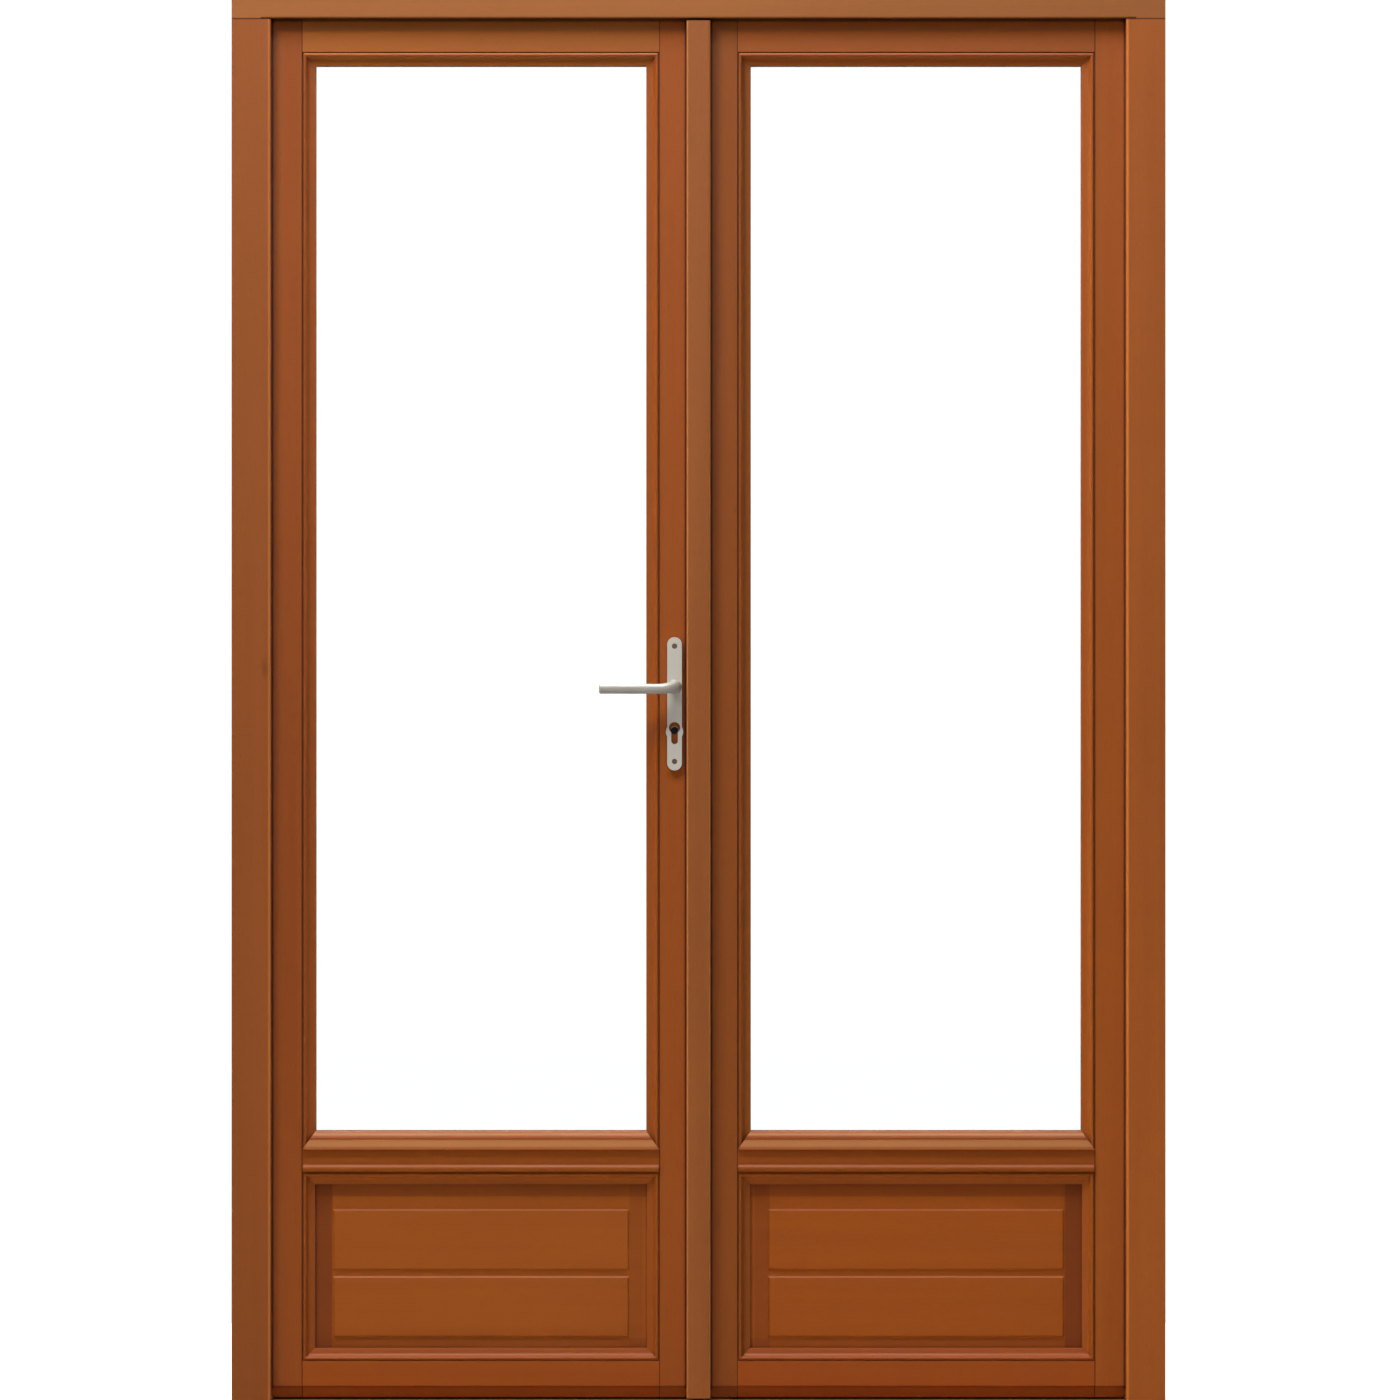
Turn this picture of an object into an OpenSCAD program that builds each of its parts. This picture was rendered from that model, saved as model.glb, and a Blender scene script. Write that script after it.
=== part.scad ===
// Pair of glazed timber french doors in their own frame.
// Origin: centre of the threshold's underside, at mid depth of the frame.
// X runs across the doorway, +Y into the room, Z up.  Outside is -Y.  Millimetres.

/* [Frame] */
// Overall width over the jambs
frame_w = 1400; // [1200:10:1800]
// Overall height, threshold's underside to top of head
frame_h = 2150; // [2000:10:2400]
// Depth of jambs and head, outside face to room face
frame_depth = 72; // [68:1:90]
// Width of the jamb's and head's face seen from outside
frame_face = 59; // [54:1:80]
// How far the frame's lip laps over the edge of a leaf
frame_lap = 12; // [10:1:16]
// Radius of the frame's inner front arris
frame_arris = 3.5; // [1:0.5:5]
// Height of the threshold
sill_h = 19; // [16:1:24]

/* [Leaves] */
// Thickness of stiles and rails
leaf_t = 54; // [50:1:68]
// Gap all round between a leaf and its rebate
leaf_gap = 3; // [2:0.5:4]
// Gap between the two leaves
meeting_gap = 4; // [3.5:0.5:6]
// Width of the hinge stile up to its moulding
hinge_stile_w = 58; // [54:1:90]
// Width of the meeting stile up to its moulding
meeting_stile_w = 56.5; // [55:0.5:90]
// Height of the bottom rail up to its moulding
bottom_rail_h = 55; // [48:1:160]
// Height of the panel opening between the rails
panel_opening_h = 284; // [200:1:600]
// Height of the middle rail between its mouldings
middle_rail_h = 33; // [30:1:120]
// Height of the top rail down to its moulding
top_rail_h = 61; // [50:1:120]
// Height of the outside rebate along the leaf's bottom edge
drip_rebate_h = 18; // [10:1:22]
// Depth of the outside rebate along the leaf's bottom edge
drip_rebate_d = 10; // [4:1:12]

/* [Mouldings] */
// Width of the moulding on the glass opening's sides and top
glass_mould_w = 20; // [16:1:26]
// Width of the weathered moulding under the glass
weather_mould_w = 28; // [24:1:34]
// Width of the moulding round the panel
panel_mould_w = 19; // [16:1:26]
// Thickness of the wood behind each moulding
mould_t = 14; // [12:1:16]
// Radius of the round bead across the middle rail
bead_r = 5.5; // [4:0.5:7]

/* [Panel and glass] */
// Height that the panel's raised fields stand proud
field_rise = 3; // [2:0.5:5]
// Height of the V groove that parts the panel's two fields
field_groove = 10; // [6:1:16]
// Thickness of each pane
pane_t = 4; // [3:1:6]
// Space between the glass's edge and the wood
glass_edge = 5; // [3:0.5:6]

/* [Astragals] */
// Width of both astragals
astragal_w = 36; // [30:1:44]
// Thickness of the outside astragal
outer_astragal_t = 17; // [12:1:18]
// Thickness of the inside astragal
inner_astragal_t = 12; // [10:1:18]

/* [Hinges] */
// Number of hinges on each leaf
hinge_n = 4; // [3:1:5]
// Radius of the hinge barrels
barrel_r = 7; // [6:0.5:9]
// Height of one half of a hinge
barrel_h = 40; // [30:1:55]
// Radius of the loose hinge pins
hinge_pin_r = 3; // [2:0.5:4]
// Distance of the first and last hinge from the leaf's ends
hinge_end = 180; // [120:5:300]

/* [Lock and handles] */
// Height of the levers' axis above the threshold's underside
handle_z = 1089.5; // [950:0.5:1150]
// Distance of the levers' axis from the leaf's meeting edge
backset = 34; // [33:0.5:35]
// Distance from the levers' axis down to the round of the cylinder cut-out
cylinder_drop = 62; // [62:1:72]
// Width of the handle plates
plate_w = 22; // [20:1:26]
// Height of the handle plates
plate_h = 200; // [190:1:240]
// Thickness of the handle plates
plate_t = 7; // [5:0.5:9]
// Reach of a lever from its axis to its tip
lever_reach = 113; // [95:1:135]
// Radius of a lever's grip
lever_r = 7.5; // [6:0.5:9]
// Side of the square spindle
spindle_w = 7; // [7:1:8]
// Travel of the latch bolt
latch_travel = 12; // [10:0.5:12]
// Travel of the dead bolt
dead_travel = 14; // [12:1:16]

/* [Flush bolts] */
// Radius of a flush bolt's rod
flush_r = 5; // [4:0.5:6]
// Length of a flush bolt's rod
flush_len = 150; // [130:5:200]
// Travel of a flush bolt
flush_travel = 15; // [12:1:16]

/* [Fixings] */
// Radius of the holes for the frame's fixing screws
fixing_r = 5; // [4:0.5:6]
// Height between the outer pair of fixing holes
fixing_far = 1600; // [1400:10:1800]
// Height between the inner pair of fixing holes
fixing_near = 700; // [500:10:800]

/* [Hidden] */
$fn = 48;

jamb_color = [0.55, 0.30, 0.15];
stile_color = [0.52, 0.26, 0.09];
rail_color = [0.54, 0.27, 0.10];
panel_color = [0.56, 0.29, 0.11];
astragal_color = [0.56, 0.33, 0.16];
metal_color = [0.70, 0.68, 0.64];
steel_color = [0.60, 0.60, 0.60];
glass_color = [0.85, 0.93, 0.93, 0.4];
rubber_color = [0.08, 0.08, 0.08];
alu_color = [0.62, 0.58, 0.52];

cut_over = 0.05; // overshoot of a cut past the face that it opens
room_y = frame_depth / 2;
front_y = -frame_depth / 2;
leaf_room_y = room_y;
leaf_front_y = room_y - leaf_t;
rebate_y = leaf_front_y - leaf_gap;
reveal_x = frame_w / 2 - frame_face;
rebate_x = reveal_x + frame_lap + leaf_gap;
reveal_z = frame_h - frame_face;
rebate_z = reveal_z + frame_lap + leaf_gap;

// Both leaves are drawn as the left one, at negative X, and the right one is its mirror.
leaf_x0 = -(reveal_x + frame_lap);
leaf_x1 = -meeting_gap / 2;
leaf_z0 = sill_h + leaf_gap;
leaf_z1 = reveal_z + frame_lap;
shoulder_x0 = leaf_x0 + hinge_stile_w;
shoulder_x1 = leaf_x1 - meeting_stile_w;
panel_z0 = leaf_z0 + bottom_rail_h;
panel_z1 = panel_z0 + panel_opening_h;
glass_z0 = panel_z1 + middle_rail_h;
glass_z1 = leaf_z1 - top_rail_h;

// An opening is [left, bottom, right, top] between shoulders; its moulding widths go the same way round.
glass_open = [shoulder_x0, glass_z0, shoulder_x1, glass_z1];
glass_w = [glass_mould_w, weather_mould_w, glass_mould_w, glass_mould_w];
panel_open = [shoulder_x0, panel_z0, shoulder_x1, panel_z1];
panel_w = [panel_mould_w, panel_mould_w, panel_mould_w, panel_mould_w];

tenon_t = 18;
tenon_len = 34;
tenon_inset = 4;
tenon_play = 0.2;
tenon_y = (leaf_front_y + leaf_room_y) / 2;

quirk_w = 1.5;
quirk_d = 2;
round_r = 2.7;
round_proud = 0.3;
hollow_d = 5;
fillet_w = 5;
fillet_fall = 1.2;
nose_proud = 6;
bead_round = 9;
mitre_gap = 0.1;  // between loose strips that meet at a corner

glaze_gap = 0.2;  // tape between glass and wood
unit_y0 = leaf_front_y + mould_t + glaze_gap;
unit_t = 23.6;
spacer_w = 6;
spacer_in = 4;
packer_len = 80;
panel_play = 3;
panel_face_gap = 0.2;
panel_t = leaf_t - 2 * mould_t - 2 * panel_face_gap;
panel_y = (leaf_front_y + leaf_room_y) / 2;
field_side = 27;
field_top = 38;
field_bottom = 16.5;
field_slope = 2;

seal_w = 4;
seal_bed = 3;
touch = 0.3;      // clearance of a soft lip from what it closes on

astragal_relief = 2;
astragal_z0 = leaf_z0;
astragal_z1 = reveal_z - leaf_gap;

hinge_x = leaf_x0 - leaf_gap / 2;
barrel_off = 1;
hinge_y = leaf_room_y + barrel_off + barrel_r;
hinge_split = 0.2;
hinge_cap = 4;
hinge_play = 0.05;
screw_pin_r = 3.5;
screw_pin_len = 50;
screw_pin_play = 0.1;
hinge_span = leaf_z1 - leaf_z0 - 2 * hinge_end;

lock_y = panel_y;
handle_x = leaf_x1 - backset;
cyl_z = handle_z - cylinder_drop;
face_t = 3;
face_w = 20;
face_z0 = handle_z - 150;
face_z1 = handle_z + 90;
case_t = 16;
case_wall = 1.5;
case_x0 = leaf_x1 - 50;
case_x1 = leaf_x1 - face_t;
case_z0 = cyl_z - 37.5;
case_z1 = handle_z + 42.5;
case_play = 0.3;
bolt_t = 10;
bolt_play = 0.25;
latch_z0 = handle_z + 16;
latch_h = 18;
dead_h = 20;
dead_z0 = handle_z - 42.5;
arm_len = 22;
arm_w = 5;
arm_t = 6;
handle_turn = 40;
follower_r = 10;
collar_r = 7.8;
collar_play = 0.2;
neck_r = 8;
neck_play = 0.2;
hub_r = 10.5;
hub_len = 15;
bend_r = 12;
lever_drop = 3.5;
stile_bore_r = 9;
euro_r = 8.5;
euro_w = 10;
euro_h = 33;
bulge_r = 13;
key_hole_r = 6;
key_hole_drop = 4;
plate_mid_z = handle_z - 26;
plate_screw_in = 13.5;

screw_r = 2;
screw_head_r = 4;
screw_head_h = 2.2;
screw_play = 0.1;

strike_t = 2;
strike_w = 24;
strike_z0 = dead_z0 - 22;
strike_z1 = latch_z0 + latch_h + 22;
strike_play = 1;
pocket_play = 4;
pocket_d = max(latch_travel, dead_travel) - meeting_gap + pocket_play;

flush_x = leaf_x1 - 12;
flush_play = 0.3;
flush_plate_t = 2.5;
flush_plate_w = 20;
flush_plate_len = 165;
flush_stud_r = 3.6;
flush_stud_in = 115;
keep_t = 2;
keep_len = 60;
keep_w = 20;
keep_screw = 21;
sill_keep_t = 1.5;
keep_depth = 16;

fixing_y = (rebate_y + room_y) / 2;
fixing_sink_r = 9;
fixing_sink_d = 12;
sill_wall = 2;
sill_nose_h = 12;
sill_nose_run = 16;
sill_play = 0.2;
head_tenon = [26, 20, 35];

// ---- helpers -------------------------------------------------------------

function arc(c, r, a0, a1, n) = [for (i = [0:n]) c + r * [cos(a0 + (a1 - a0) * i / n),
                                                          sin(a0 + (a1 - a0) * i / n)]];

// Outline drawn in X and Z, standing from y0 to y1.
module slab_y(points, y0, y1) {
    translate([0, y1, 0]) rotate([90, 0, 0]) linear_extrude(y1 - y0) polygon(points);
}

// Outline drawn in Y and Z, running from x0 to x1.
module bar_x(points, x0, x1) {
    translate([x0, 0, 0]) rotate([90, 0, 90]) linear_extrude(x1 - x0) polygon(points);
}

// Outline drawn in X and Y, standing from z0 to z1.
module bar_z(points, z0, z1) {
    translate([0, 0, z0]) linear_extrude(z1 - z0) polygon(points);
}

module block(x0, x1, y0, y1, z0, z1) {
    translate([x0, y0, z0]) cube([x1 - x0, y1 - y0, z1 - z0]);
}

module rod_x(r, x0, x1, y, z) {
    translate([x0, y, z]) rotate([0, 90, 0]) cylinder(h = x1 - x0, r = r);
}

module rod_y(r, y0, y1, x, z) {
    translate([x, y0, z]) rotate([-90, 0, 0]) cylinder(h = y1 - y0, r = r);
}

module rod_z(r, z0, z1, x, y) {
    translate([x, y, z0]) cylinder(h = z1 - z0, r = r);
}

// Countersunk wood screw, head at the origin, running down -Z.  grow turns it into its hole.
module screw(len, grow = 0) {
    translate([0, 0, -screw_head_h])
        cylinder(h = screw_head_h, r1 = screw_r + grow, r2 = screw_head_r + grow);
    translate([0, 0, -len - grow]) cylinder(h = len + grow - screw_head_h + 0.01, r = screw_r + grow);
    if (grow > 0) cylinder(h = 1, r = screw_head_r + grow);
}

// Moulding profiles: u runs from the shoulder to the sight line, v from the face inwards.

// Hollow that starts at [u, v], runs across by w and sinks by d, ending parallel to the face.
function hollow(u, v, w, d) = let (r = (w * w + d * d) / (2 * d))
    arc([u + w, v + d - r], r, 180 - asin((r - d) / r), 90, 6);

// Quirk, round bead, hollow and a sloped fillet at the sight line.
function stuck_profile(w) = concat(
    [[0, mould_t], [0, quirk_d], [quirk_w, quirk_d]],
    arc([quirk_w + round_r, round_r - round_proud], round_r, 180, 360, 8),
    hollow(quirk_w + 2 * round_r, round_r + 0.6, w - quirk_w - 2 * round_r - fillet_w, hollow_d),
    [[w, round_r + 0.6 + hollow_d + fillet_fall], [w, mould_t]]);

// Weathered profile under the glass: a proud sloped nose, a flat and a sloped fillet.
function weather_profile(w) = [
    [0, mould_t], [0, 1 - nose_proud], [0.8, -nose_proud], [w * 0.52, -2], [w * 0.52 + 0.5, 2.5],
    [w * 0.68, 2.5], [w - 1, 7.5], [w, 8.5], [w, mould_t]];

// Loose glazing bead on the room side: flat, quarter round and a fillet.
function bead_profile(w, t) = concat(
    [[0, t], [0, 0], [w - bead_round - 4, 0], [w - bead_round - 4, 1.2]],
    arc([w - bead_round - 4, bead_round + 1.2], bead_round, -90, 0, 8),
    [[w, bead_round + 1.2], [w, t]]);

// One mitred strip of an opening's moulding, on the outside (face < 0) or room side (face > 0).
// Loose strips keep half the mitre's gap g at each end.
module moulding(o, w, side, profile, face, g = 0) {
    fy = face < 0 ? leaf_front_y : leaf_room_y;
    in_x = [o[0] + w[0], o[2] - w[2]];
    in_z = [o[1] + w[1], o[3] - w[3]];
    wedge = side == "left"
        ? [[o[0], o[1] + g], [in_x[0], in_z[0] + g], [in_x[0], in_z[1] - g], [o[0], o[3] - g]]
        : side == "right"
        ? [[o[2], o[1] + g], [o[2], o[3] - g], [in_x[1], in_z[1] - g], [in_x[1], in_z[0] + g]]
        : side == "bottom"
        ? [[o[0] + g, o[1]], [o[2] - g, o[1]], [in_x[1] - g, in_z[0]], [in_x[0] + g, in_z[0]]]
        : [[o[0] + g, o[3]], [in_x[0] + g, in_z[1]], [in_x[1] - g, in_z[1]], [o[2] - g, o[3]]];
    intersection() {
        slab_y(wedge, fy - 20, fy + 20);
        if (side == "left") bar_z([for (p = profile) [o[0] + p[0], fy - face * p[1]]], o[1], o[3]);
        if (side == "right") bar_z([for (p = profile) [o[2] - p[0], fy - face * p[1]]], o[1], o[3]);
        if (side == "bottom") bar_x([for (p = profile) [fy - face * p[1], o[1] + p[0]]], o[0], o[2]);
        if (side == "top") bar_x([for (p = profile) [fy - face * p[1], o[3] - p[0]]], o[0], o[2]);
    }
}

module stile_mouldings(side) {
    moulding(glass_open, glass_w, side, stuck_profile(glass_mould_w), -1);
    for (face = [-1, 1])
        moulding(panel_open, panel_w, side, stuck_profile(panel_mould_w), face);
}

// Tenon of a rail between z0 and z1, or its mortise when play is given.
module tenon(z0, z1, at_hinge_side, play = 0) {
    x0 = at_hinge_side ? shoulder_x0 - tenon_len - play : shoulder_x1;
    x1 = at_hinge_side ? shoulder_x0 : shoulder_x1 + tenon_len + play;
    block(x0, x1, tenon_y - tenon_t / 2 - play, tenon_y + tenon_t / 2 + play,
          z0 + tenon_inset - play, z1 - tenon_inset + play);
}

module mortises(at_hinge_side) {
    tenon(leaf_z0 + 4, panel_z0, at_hinge_side, tenon_play);
    tenon(panel_z1, glass_z0, at_hinge_side, tenon_play);
    tenon(glass_z1, leaf_z1 - 8, at_hinge_side, tenon_play);
}

module drip_rebate() {
    block(leaf_x0 - 1, leaf_x1 + 1, leaf_front_y - 1, leaf_front_y + drip_rebate_d,
          leaf_z0 - 1, leaf_z0 + drip_rebate_h);
}

// Runs its child once per hinge, at the split between the hinge's halves.
module at_hinges() {
    for (i = [0:hinge_n - 1])
        translate([hinge_x, hinge_y, leaf_z0 + hinge_end + i * hinge_span / (hinge_n - 1)]) children();
}

// Screwed pin of a hinge half, at 45 degrees into the wood.  to_leaf is 1 or -1.
module screw_pin(to_leaf, grow = 0) {
    start = grow > 0 ? barrel_r + 0.5 : hinge_pin_r + 1.5;
    translate([0, 0, to_leaf * barrel_h / 2]) rotate([90, 0, to_leaf * 45])
        translate([0, 0, start]) cylinder(h = screw_pin_len + grow - start, r = screw_pin_r + grow);
}

module hinge_half(to_leaf) {
    z0 = to_leaf > 0 ? hinge_split : -barrel_h;
    z1 = to_leaf > 0 ? barrel_h : -hinge_split;
    bore0 = to_leaf > 0 ? z0 - 1 : z0 + hinge_cap;
    bore1 = to_leaf > 0 ? z1 - hinge_cap : z1 + 1;
    difference() {
        rod_z(barrel_r, z0, z1, 0, 0);
        rod_z(hinge_pin_r + hinge_play, bore0, bore1, 0, 0);
    }
    screw_pin(to_leaf);
}

// ---- frame ---------------------------------------------------------------

function jamb_outline() = concat(
    [[-frame_w / 2, front_y]],
    arc([-reveal_x - frame_arris, front_y + frame_arris], frame_arris, -90, 0, 6),
    [[-reveal_x, rebate_y], [-rebate_x, rebate_y], [-rebate_x, room_y], [-frame_w / 2, room_y]]);

module jamb_wood() {
    difference() {
        union() {
            bar_z(jamb_outline(), 0, reveal_z);
            translate([-frame_w / 2 + 10, -head_tenon[1] / 2, reveal_z - cut_over])
                cube(head_tenon + [0, 0, cut_over]);
        }
        // groove for the seal in the lip
        block(seal_x() - seal_w / 2, seal_x() + seal_w / 2, rebate_y - seal_bed, rebate_y + 1,
              sill_h, reveal_z + 1);
        at_hinges() screw_pin(-1, screw_pin_play);
        for (span = [fixing_far, fixing_near], s = [-1, 1]) {
            rod_x(fixing_r, -frame_w / 2 - 1, -rebate_x + 1, fixing_y, frame_h / 2 + s * span / 2);
            rod_x(fixing_sink_r, -rebate_x - fixing_sink_d, -rebate_x + 1, fixing_y,
                  frame_h / 2 + s * span / 2);
        }
    }
}

function seal_x() = -(reveal_x + frame_lap / 2 + 1.5);
function seal_z() = reveal_z + frame_lap / 2 + 1.5;

module frame_jamb_left() {
    color(jamb_color) jamb_wood();
}

module frame_jamb_right() {
    color(jamb_color) mirror([1, 0, 0]) jamb_wood();
}

module frame_head() {
    lip = concat([[front_y, frame_h]],
        arc([front_y + frame_arris, reveal_z + frame_arris], frame_arris, 180, 270, 6),
        [[rebate_y, reveal_z], [rebate_y, rebate_z], [room_y, rebate_z], [room_y, frame_h]]);
    color(jamb_color) difference() {
        union() {
            bar_x(lip, -rebate_x, rebate_x);
            for (s = [-1, 1])
                block(min(s * rebate_x, s * frame_w / 2), max(s * rebate_x, s * frame_w / 2),
                      front_y, room_y, reveal_z, frame_h);
        }
        for (s = [0, 1]) mirror([s, 0, 0])
            translate([-frame_w / 2 + 10 - tenon_play, -head_tenon[1] / 2 - tenon_play, reveal_z - 1])
                cube(head_tenon + [2 * tenon_play, 2 * tenon_play, 1 + tenon_play]);
        block(seal_x() - seal_w / 2, -seal_x() + seal_w / 2, rebate_y - seal_bed, rebate_y + 1,
              seal_z() - seal_w / 2, seal_z() + seal_w / 2);
        for (s = [-1, 1])
            block(s * seal_x() - seal_w / 2, s * seal_x() + seal_w / 2, rebate_y - seal_bed,
                  rebate_y + 1, reveal_z - 1, seal_z());
        // bed of the keep and the bolt's hole above it
        keep_place(rebate_z) {
            translate([-keep_len / 2, -keep_w / 2, -1]) cube([keep_len, keep_w, 1 + keep_t]);
            cylinder(h = keep_t + keep_depth, r = flush_r + 2 * flush_play);
            for (s = [-1, 1]) translate([s * keep_screw, 0, 0]) mirror([0, 0, 1])
                screw(20, screw_play);
        }
    }
}

// Places a keep over the flush bolt, at height z.
module keep_place(z) {
    translate([-flush_x, lock_y, z]) children();
}

module keep(t) {
    difference() {
        translate([-keep_len / 2, -keep_w / 2, 0]) cube([keep_len, keep_w, t]);
        translate([0, 0, -1]) cylinder(h = t + 2, r = flush_r + 2 * flush_play);
        children();
    }
}

module head_keep() {
    color(steel_color) keep_place(rebate_z) keep(keep_t)
        for (s = [-1, 1]) translate([s * keep_screw, 0, 0]) mirror([0, 0, 1]) screw(20, screw_play);
}

module threshold_keep() {
    color(steel_color) keep_place(sill_h) keep(sill_keep_t)
        for (s = [-1, 1]) translate([s * keep_screw, 0, sill_keep_t]) screw(12, screw_play);
}

module keep_screws() {
    color(steel_color) {
        keep_place(rebate_z) for (s = [-1, 1]) translate([s * keep_screw, 0, 0]) mirror([0, 0, 1])
            screw(20);
        keep_place(sill_h) for (s = [-1, 1]) translate([s * keep_screw, 0, sill_keep_t]) screw(12);
    }
}

// Hollow extruded threshold with two chambers and a weathered nose.
module threshold() {
    outer = [[front_y, 0], [room_y, 0], [room_y, sill_h - 2], [room_y - 6, sill_h],
             [front_y + sill_nose_run, sill_h], [front_y, sill_nose_h]];
    chamber_front = [[front_y + 3, sill_wall], [-1, sill_wall], [-1, sill_h - sill_wall],
                     [front_y + sill_nose_run + 1, sill_h - sill_wall], [front_y + 3, sill_nose_h - 1]];
    chamber_room = [[1, sill_wall], [room_y - 2, sill_wall], [room_y - 2, sill_h - 3.5],
                    [room_y - 7, sill_h - sill_wall], [1, sill_h - sill_wall]];
    end_x = rebate_x - sill_play;
    color(alu_color) difference() {
        bar_x(outer, -end_x, end_x);
        bar_x(chamber_front, -end_x - 1, end_x + 1);
        bar_x(chamber_room, -end_x - 1, end_x + 1);
        for (s = [0, 1]) mirror([s, 0, 0])
            block(-rebate_x, -reveal_x + sill_play, front_y - 1, rebate_y + sill_play, -1, sill_h + 1);
        keep_place(0) {
            translate([0, 0, sill_h / 2]) cylinder(h = sill_h, r = flush_r + 2 * flush_play);
            for (s = [-1, 1]) translate([s * keep_screw, 0, sill_h + sill_keep_t]) screw(12, screw_play);
        }
    }
}

module frame_seals() {
    y0 = rebate_y - seal_bed;
    y1 = leaf_front_y - touch;
    color(rubber_color) {
        for (s = [-1, 1])
            block(s * seal_x() - seal_w / 2, s * seal_x() + seal_w / 2, y0, y1, sill_h,
                  seal_z() - seal_w / 2 - mitre_gap);
        block(seal_x() - seal_w / 2, -seal_x() + seal_w / 2, y0, y1, seal_z() - seal_w / 2,
              seal_z() + seal_w / 2);
        block(-reveal_x, reveal_x, room_y - 16, room_y - 12, sill_h, leaf_z0 - touch);
    }
}

module frame_hinge_halves_left() {
    color(metal_color) at_hinges() hinge_half(-1);
}

module frame_hinge_halves_right() {
    color(metal_color) mirror([1, 0, 0]) at_hinges() hinge_half(-1);
}

module hinge_pin() {
    rod_z(hinge_pin_r, -barrel_h + hinge_cap, barrel_h - hinge_cap - 0.5, 0, 0);
}

module hinge_pins_left() {
    color(steel_color) at_hinges() hinge_pin();
}

module hinge_pins_right() {
    color(steel_color) mirror([1, 0, 0]) at_hinges() hinge_pin();
}

// ---- one leaf, drawn as the left one --------------------------------------

module hinge_stile_wood() {
    difference() {
        union() {
            block(leaf_x0, shoulder_x0, leaf_front_y, leaf_room_y, leaf_z0, leaf_z1);
            stile_mouldings("left");
        }
        mortises(true);
        drip_rebate();
        at_hinges() screw_pin(1, screw_pin_play);
    }
}

module meeting_stile_wood() {
    difference() {
        union() {
            block(shoulder_x1, leaf_x1, leaf_front_y, leaf_room_y, leaf_z0, leaf_z1);
            stile_mouldings("right");
        }
        mortises(false);
        drip_rebate();
    }
}

module rail_core(z0, z1, tenon_z0, tenon_z1) {
    block(shoulder_x0, shoulder_x1, leaf_front_y, leaf_room_y, z0, z1);
    tenon(tenon_z0, tenon_z1, true);
    tenon(tenon_z0, tenon_z1, false);
}

module top_rail_wood() {
    rail_core(glass_z1, leaf_z1, glass_z1, leaf_z1 - 8);
    moulding(glass_open, glass_w, "top", stuck_profile(glass_mould_w), -1);
}

// Round bead with eased ends, lying along the middle rail's face.
module rail_bead() {
    ease = 2.5;
    half = concat([[0, 0]], arc([bead_r - ease, ease], ease, -90, 0, 4),
        arc([bead_r - ease, shoulder_x1 - shoulder_x0 - ease], ease, 0, 90, 4),
        [[0, shoulder_x1 - shoulder_x0]]);
    translate([shoulder_x0, leaf_front_y, panel_z1 + bead_r]) rotate([0, 90, 0])
        rotate_extrude() polygon(half);
}

module middle_rail_wood() {
    rail_core(panel_z1, glass_z0, panel_z1, glass_z0);
    moulding(glass_open, glass_w, "bottom", weather_profile(weather_mould_w), -1);
    for (face = [-1, 1])
        moulding(panel_open, panel_w, "top", stuck_profile(panel_mould_w), face);
    rail_bead();
}

module bottom_rail_wood() {
    difference() {
        union() {
            rail_core(leaf_z0, panel_z0, leaf_z0 + 4, panel_z0);
            for (face = [-1, 1])
                moulding(panel_open, panel_w, "bottom", stuck_profile(panel_mould_w), face);
        }
        drip_rebate();
    }
}

// Raised field with sloped edges, on the face at y, rising towards dir.
module field(x0, x1, z0, z1, y, dir) {
    top = y + dir * field_rise;
    intersection() {
        bar_z([[x0, y - dir], [x0, y], [x0 + field_slope, top], [x1 - field_slope, top], [x1, y],
               [x1, y - dir]], z0, z1);
        bar_x([[y - dir, z0], [y, z0], [top, z0 + field_slope], [top, z1 - field_slope], [y, z1],
               [y - dir, z1]], x0, x1);
    }
}

module panel_wood() {
    x0 = shoulder_x0 + panel_mould_w + field_side;
    x1 = shoulder_x1 - panel_mould_w - field_side;
    z0 = panel_z0 + panel_mould_w + field_bottom;
    z1 = panel_z1 - panel_mould_w - field_top;
    mid = (z0 + z1) / 2;
    block(shoulder_x0 + panel_play, shoulder_x1 - panel_play, panel_y - panel_t / 2,
          panel_y + panel_t / 2, panel_z0 + panel_play, panel_z1 - panel_play);
    for (dir = [-1, 1]) {
        field(x0, x1, z0, mid - field_groove / 2, panel_y + dir * panel_t / 2, dir);
        field(x0, x1, mid + field_groove / 2, z1, panel_y + dir * panel_t / 2, dir);
    }
}

module pane(y) {
    block(shoulder_x0 + glass_edge, shoulder_x1 - glass_edge, y, y + pane_t,
          glass_z0 + glass_edge, glass_z1 - glass_edge);
}

module glass_spacer() {
    y0 = unit_y0 + pane_t;
    y1 = unit_y0 + unit_t - pane_t;
    out = glass_edge + spacer_in;
    inn = out + spacer_w;
    difference() {
        block(shoulder_x0 + out, shoulder_x1 - out, y0, y1, glass_z0 + out, glass_z1 - out);
        block(shoulder_x0 + inn, shoulder_x1 - inn, y0 - 1, y1 + 1, glass_z0 + inn, glass_z1 - inn);
    }
}

module glass_packers() {
    for (x = [shoulder_x0 + 60, shoulder_x1 - 60 - packer_len])
        block(x, x + packer_len, unit_y0, unit_y0 + unit_t, glass_z0, glass_z0 + glass_edge);
}

module glazing_beads() {
    t = leaf_room_y - unit_y0 - unit_t - glaze_gap;
    for (side = ["left", "right", "top"])
        moulding(glass_open, glass_w, side, bead_profile(glass_mould_w, t), 1, mitre_gap);
    moulding(glass_open, glass_w, "bottom", bead_profile(weather_mould_w, t), 1, mitre_gap);
}

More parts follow.
